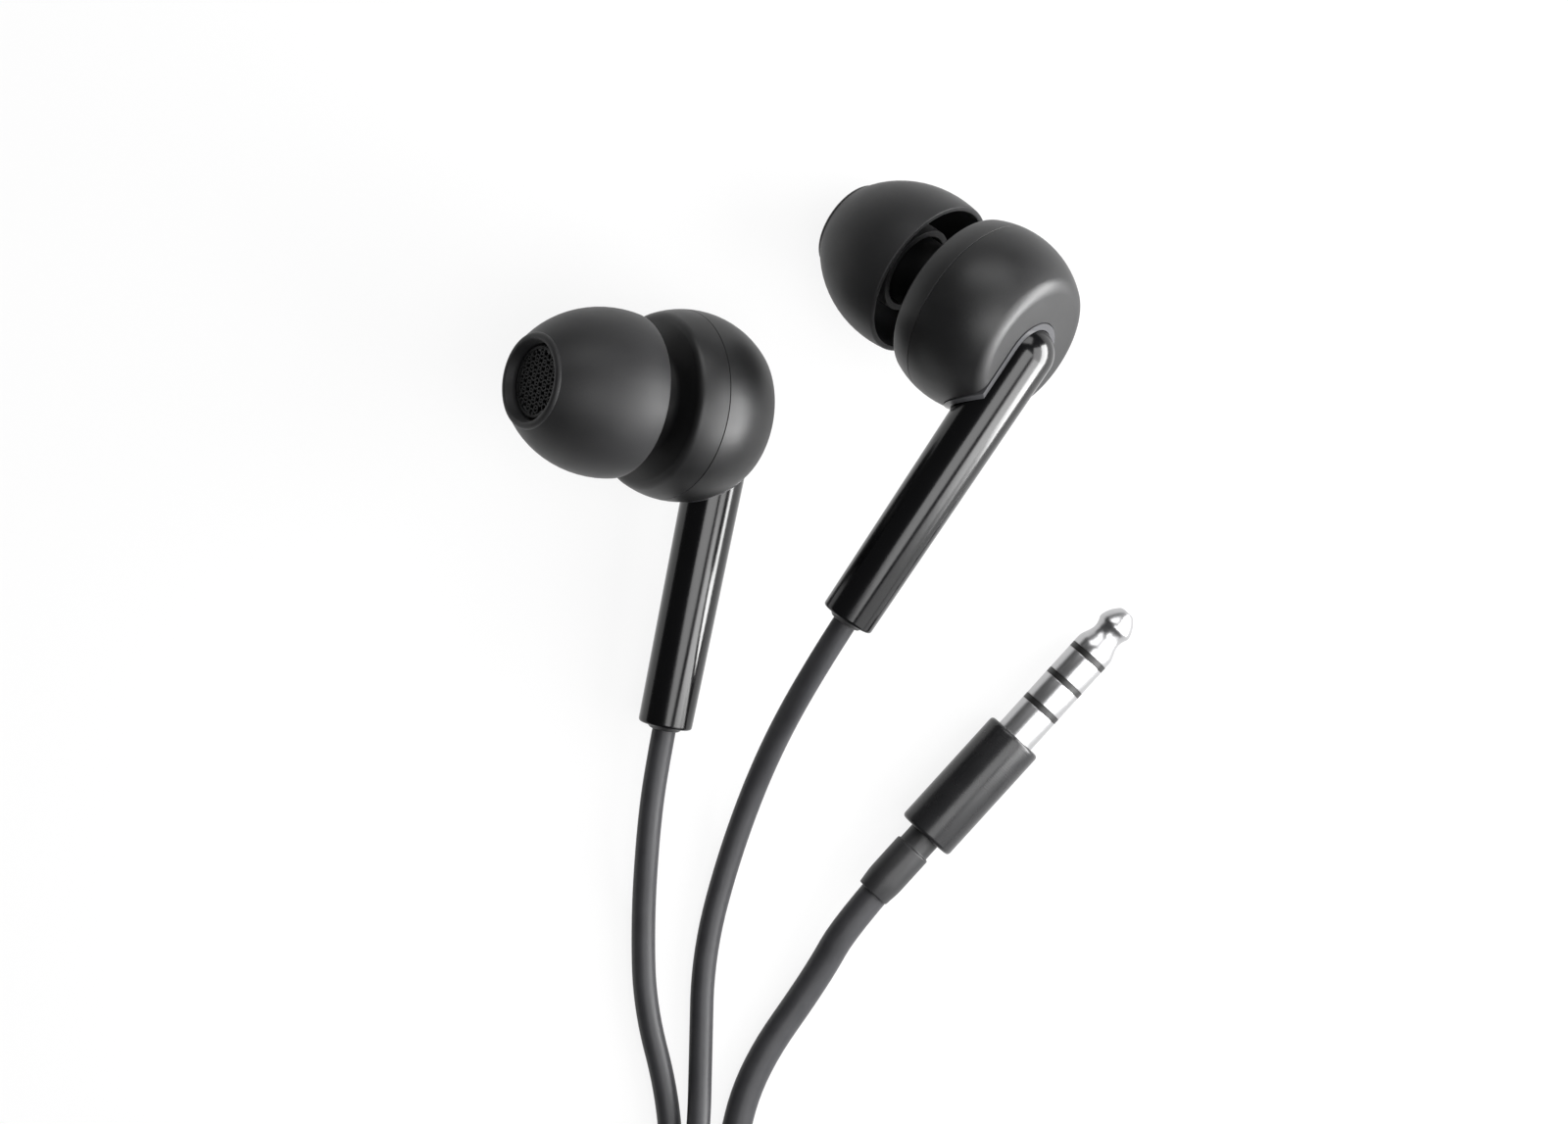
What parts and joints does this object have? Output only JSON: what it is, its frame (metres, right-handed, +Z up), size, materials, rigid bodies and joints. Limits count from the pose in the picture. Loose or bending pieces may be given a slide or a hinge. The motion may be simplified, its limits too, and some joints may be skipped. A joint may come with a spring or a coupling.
{
  "type": "wired earphones",
  "caption": "In-ear wired earphones lying with loose cords: silicone tips on glossy round housings with straight stems, and a slim metal-pinned audio plug.",
  "frame": {"origin": "on the table, under the middle of the box round the two buds", "axes": "+X to the right, +Y away from the viewer's near edge and +Z up from the table, as seen by someone who looks straight down at the earphones"},
  "size_m": [0.0634, 0.1359, 0.0205],
  "materials": {
    "silicone": "matt translucent black silicone",
    "steel_mesh": "fine perforated sheet",
    "gloss_shell": "polished black plastic",
    "soft_rubber": "satin moulded rubber",
    "cord_jacket": "satin extruded cord jacket",
    "moulded_plastic": "natural moulded plastic",
    "plated_steel": "nickel-plated steel",
    "magnet": "nickel-plated magnet",
    "copper_wire": "enamelled copper wire",
    "film": "thin clear film",
    "paper": "thin damping paper",
    "circuit_board": "solder-masked board",
    "plated_contact": "bright plated contact",
    "black_insulator": "black moulded insulator",
    "satin_barrel": "satin dark grey barrel",
    "moulded_case": "satin black case"
  },
  "bodies": {
    "earphones": {"left_nozzle_mesh": "steel_mesh", "left_front_shell": "gloss_shell", "left_rear_shell": "gloss_shell", "left_stem_collar": "gloss_shell", "left_stem": "gloss_shell", "left_stem_bushing": "soft_rubber", "left_cord_knot": "cord_jacket", "left_driver_frame": "moulded_plastic", "left_driver_yoke": "plated_steel", "left_driver_magnet": "magnet", "left_pole_plate": "plated_steel", "left_driver_surround": "film", "left_driver_damper": "paper", "left_terminal_board": "circuit_board", "left_driver_leads": "copper_wire", "right_nozzle_mesh": "steel_mesh", "right_front_shell": "gloss_shell", "right_rear_shell": "gloss_shell", "right_stem_collar": "gloss_shell", "right_stem": "gloss_shell", "right_stem_bushing": "soft_rubber", "right_cord_knot": "cord_jacket", "right_driver_frame": "moulded_plastic", "right_driver_yoke": "plated_steel", "right_driver_magnet": "magnet", "right_pole_plate": "plated_steel", "right_driver_surround": "film", "right_driver_damper": "paper", "right_terminal_board": "circuit_board", "right_driver_leads": "copper_wire", "left_cord": "cord_jacket", "right_cord": "cord_jacket", "left_cord_coil": "cord_jacket", "right_cord_coil": "cord_jacket", "left_cord_tail": "cord_jacket", "right_cord_tail": "cord_jacket", "trunk_coil": "cord_jacket", "trunk_tail": "cord_jacket", "trunk_cord": "cord_jacket", "jack_tip": "plated_contact", "jack_ring_front": "plated_contact", "jack_ring_rear": "plated_contact", "jack_sleeve": "plated_contact", "jack_insulators": "black_insulator", "jack_core": "black_insulator", "plug_barrel": "satin_barrel", "plug_strain_relief": "soft_rubber", "junction_upper_case": "moulded_case", "junction_lower_case": "moulded_case", "remote_board": "circuit_board", "remote_switch": "plated_steel", "microphone": "plated_steel"},
    "left_tip": {"left_ear_tip": "silicone"},
    "right_tip": {"right_ear_tip": "silicone"},
    "left_cone": {"left_diaphragm": "film", "left_voice_coil": "copper_wire"},
    "right_cone": {"right_diaphragm": "film", "right_voice_coil": "copper_wire"},
    "button": {"remote_button": "moulded_case"}
  },
  "joints": [
    {"name": "left_tip_pull_off", "type": "slide", "parent": "earphones", "child": "left_tip", "axis": [-0.773, 0.1073, 0.6252], "range_m": [0, 0.009]},
    {"name": "left_cone_travel", "type": "slide", "parent": "earphones", "child": "left_cone", "axis": [-0.773, 0.1073, 0.6252], "range_m": [-0.00015, 0.00015], "stiffness_N_per_m": 100},
    {"name": "right_tip_pull_off", "type": "slide", "parent": "earphones", "child": "right_tip", "axis": [-0.7001, 0.5256, -0.4833], "range_m": [0, 0.009]},
    {"name": "right_cone_travel", "type": "slide", "parent": "earphones", "child": "right_cone", "axis": [-0.7001, 0.5256, -0.4833], "range_m": [-0.00015, 0.00015], "stiffness_N_per_m": 100},
    {"name": "button_press", "type": "slide", "parent": "earphones", "child": "button", "axis": [0, 0, -1], "range_m": [0, 0.00025], "stiffness_N_per_m": 2000}
  ]
}
